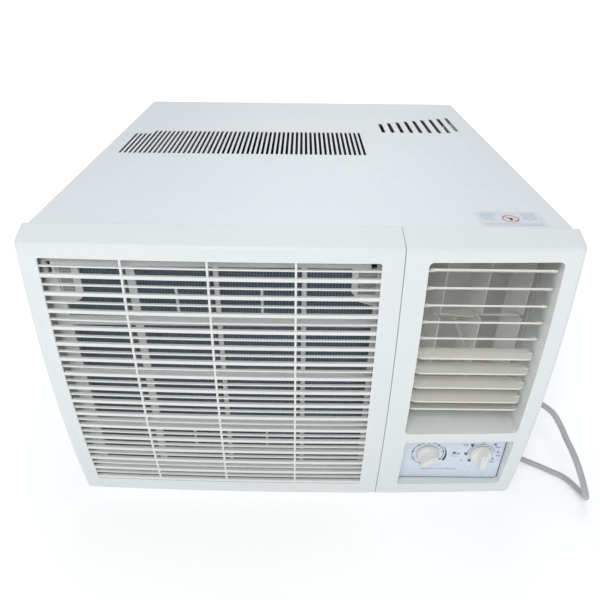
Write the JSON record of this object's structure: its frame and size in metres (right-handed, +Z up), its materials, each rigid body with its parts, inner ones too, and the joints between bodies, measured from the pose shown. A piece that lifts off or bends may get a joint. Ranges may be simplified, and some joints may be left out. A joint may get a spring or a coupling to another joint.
{
  "type": "window air conditioner",
  "caption": "Box-shaped window air conditioner with side-hinged intake grille, tilting discharge blades, swinging vanes, two control knobs and a full cooling circuit inside.",
  "frame": {"origin": "centre of the unit's footprint on the surface that the base pan's runners stand on, cord left out", "axes": "+X to the right of someone facing the front panel, +Y from the front panel to the rear, +Z up"},
  "size_m": [0.789, 0.7089, 0.436],
  "materials": {
    "panel_plastic": "cool white moulded plastic, fine grain, satin",
    "cabinet_paint": "cool white powder-coated sheet steel",
    "ivory_plastic": "warm ivory moulded plastic, satin",
    "grey_plastic": "grey moulded plastic",
    "filter_plastic": "light grey filter frame with fine dark net",
    "control_plate": "pale blue printed plate, semi-gloss",
    "knob_plastic": "warm white moulded plastic, semi-gloss",
    "galvanised_steel": "galvanised sheet steel",
    "fin_aluminium": "thin aluminium fins",
    "copper": "bare copper tube, slightly dulled",
    "black_steel": "black painted steel",
    "steel": "plain steel",
    "duct_foam": "warm grey moulded duct",
    "black_plastic": "black moulded plastic",
    "rubber": "black rubber",
    "cord_pvc": "light grey flexible cord jacket"
  },
  "bodies": {
    "root": {"accumulator": "black_steel", "air_duct": "duct_foam", "base_pan": "galvanised_steel", "blower_scroll": "duct_foam", "bulkhead": "galvanised_steel", "cabinet_screw_1": "steel", "cabinet_screw_2": "steel", "capillary_tube": "copper", "compressor": "black_steel", "compressor_foot_plate": "black_steel", "compressor_grommet_1": "rubber", "compressor_grommet_2": "rubber", "compressor_grommet_3": "rubber", "condenser_coil": "fin_aluminium", "condenser_end_plate": "galvanised_steel", "control_plate": "control_plate", "cord_coil": "cord_pvc", "cord_strain_relief": "cord_pvc", "cord_tie": "black_plastic", "discharge_pipe": "copper", "evaporator_coil": "fin_aluminium", "evaporator_end_plate": "galvanised_steel", "fan_motor": "black_steel", "fan_shroud": "galvanised_steel", "filter_drier": "copper", "front_panel": "panel_plastic", "liquid_line": "copper", "louvre_pivot_comb": "ivory_plastic", "mains_plug": "black_plastic", "mode_switch": "black_plastic", "motor_bracket": "galvanised_steel", "outer_cabinet": "cabinet_paint", "power_cord": "cord_pvc", "run_capacitor": "galvanised_steel", "suction_pipe": "copper", "swing_motor": "galvanised_steel", "thermostat_body": "black_plastic"},
    "intake_door": {"intake_grille": "panel_plastic", "air_filter": "filter_plastic"},
    "blade_01": {"louvre_blade_01": "ivory_plastic"},
    "blade_02": {"louvre_blade_02": "ivory_plastic"},
    "blade_03": {"louvre_blade_03": "ivory_plastic"},
    "blade_04": {"louvre_blade_04": "ivory_plastic"},
    "blade_05": {"louvre_blade_05": "ivory_plastic"},
    "blade_06": {"louvre_blade_06": "ivory_plastic"},
    "blade_07": {"louvre_blade_07": "ivory_plastic"},
    "blade_08": {"louvre_blade_08": "ivory_plastic"},
    "blade_09": {"louvre_blade_09": "ivory_plastic"},
    "blade_10": {"louvre_blade_10": "ivory_plastic"},
    "vane_1": {"vane_1": "ivory_plastic"},
    "vane_2": {"vane_2": "ivory_plastic"},
    "vane_3": {"vane_3": "ivory_plastic"},
    "vane_link": {"vane_link_bar": "ivory_plastic", "vane_drive_rod": "grey_plastic"},
    "crank": {"swing_crank": "grey_plastic"},
    "thermostat_dial": {"thermostat_knob": "knob_plastic"},
    "mode_dial": {"mode_knob": "knob_plastic"},
    "fan_rotor": {"fan_shaft": "steel", "blower_wheel": "black_plastic", "condenser_fan": "black_plastic"}
  },
  "joints": [
    {"name": "intake_door_hinge", "type": "hinge", "parent": "root", "child": "intake_door", "pos_m": [-0.33, -0.2906, 0.215], "axis": [0, 0, -1], "range_deg": [0, 100]},
    {"name": "blade_01_tilt", "type": "hinge", "parent": "root", "child": "blade_01", "pos_m": [0.227, -0.3168, 0.3926], "axis": [1, 0, 0], "range_deg": [-27, 93]},
    {"name": "blade_02_tilt", "type": "hinge", "parent": "root", "child": "blade_02", "pos_m": [0.227, -0.3168, 0.3678], "axis": [1, 0, 0], "range_deg": [-27, 93]},
    {"name": "blade_03_tilt", "type": "hinge", "parent": "root", "child": "blade_03", "pos_m": [0.227, -0.3168, 0.343], "axis": [1, 0, 0], "range_deg": [-27, 93]},
    {"name": "blade_04_tilt", "type": "hinge", "parent": "root", "child": "blade_04", "pos_m": [0.227, -0.3168, 0.3182], "axis": [1, 0, 0], "range_deg": [-27, 93]},
    {"name": "blade_05_tilt", "type": "hinge", "parent": "root", "child": "blade_05", "pos_m": [0.227, -0.3168, 0.2934], "axis": [1, 0, 0], "range_deg": [-27, 93]},
    {"name": "blade_06_tilt", "type": "hinge", "parent": "root", "child": "blade_06", "pos_m": [0.227, -0.3168, 0.2686], "axis": [1, 0, 0], "range_deg": [-58, 62]},
    {"name": "blade_07_tilt", "type": "hinge", "parent": "root", "child": "blade_07", "pos_m": [0.227, -0.3168, 0.2438], "axis": [1, 0, 0], "range_deg": [-59, 61]},
    {"name": "blade_08_tilt", "type": "hinge", "parent": "root", "child": "blade_08", "pos_m": [0.227, -0.3168, 0.219], "axis": [1, 0, 0], "range_deg": [-60, 60]},
    {"name": "blade_09_tilt", "type": "hinge", "parent": "root", "child": "blade_09", "pos_m": [0.227, -0.3168, 0.1942], "axis": [1, 0, 0], "range_deg": [-61, 59]},
    {"name": "blade_10_tilt", "type": "hinge", "parent": "root", "child": "blade_10", "pos_m": [0.227, -0.3168, 0.1748], "axis": [1, 0, 0], "range_deg": [-22, 68]},
    {"name": "vane_1_swing", "type": "hinge", "parent": "root", "child": "vane_1", "pos_m": [0.1795, -0.2654, 0.276], "axis": [0, 0, 1], "range_deg": [-57.5, 18.5]},
    {"name": "vane_2_swing", "type": "hinge", "parent": "root", "child": "vane_2", "pos_m": [0.234, -0.2654, 0.276], "axis": [0, 0, 1], "range_deg": [-57.5, 18.5]},
    {"name": "vane_3_swing", "type": "hinge", "parent": "root", "child": "vane_3", "pos_m": [0.2885, -0.2654, 0.276], "axis": [0, 0, 1], "range_deg": [-57.5, 18.5]},
    {"name": "vane_link_slide", "type": "slide", "parent": "root", "child": "vane_link", "axis": [1, 0, 0], "range_m": [-0.0112, 0.0037]},
    {"name": "swing_crank_turn", "type": "hinge", "parent": "root", "child": "crank", "pos_m": [0.2272, -0.2743, 0.112], "axis": [0, 1, 0], "range_deg": [-57.5, 18.5]},
    {"name": "thermostat_turn", "type": "hinge", "parent": "root", "child": "thermostat_dial", "pos_m": [0.1935, -0.3193, 0.08], "axis": [0, 1, 0], "range_deg": [-130, 130]},
    {"name": "mode_turn", "type": "hinge", "parent": "root", "child": "mode_dial", "pos_m": [0.2728, -0.3193, 0.08], "axis": [0, 1, 0], "range_deg": [-120, 120]},
    {"name": "fan_spin", "type": "hinge", "parent": "root", "child": "fan_rotor", "pos_m": [-0.095, 0.0312, 0.218], "axis": [0, 1, 0], "continuous": true}
  ],
  "couplings": [
    {"joint": "vane_2_swing", "follows": "vane_1_swing", "ratio": 1},
    {"joint": "vane_3_swing", "follows": "vane_1_swing", "ratio": 1},
    {"joint": "vane_link_slide", "follows": "vane_1_swing", "m_per_rad": 0.0109},
    {"joint": "swing_crank_turn", "follows": "vane_1_swing", "ratio": 1}
  ]
}
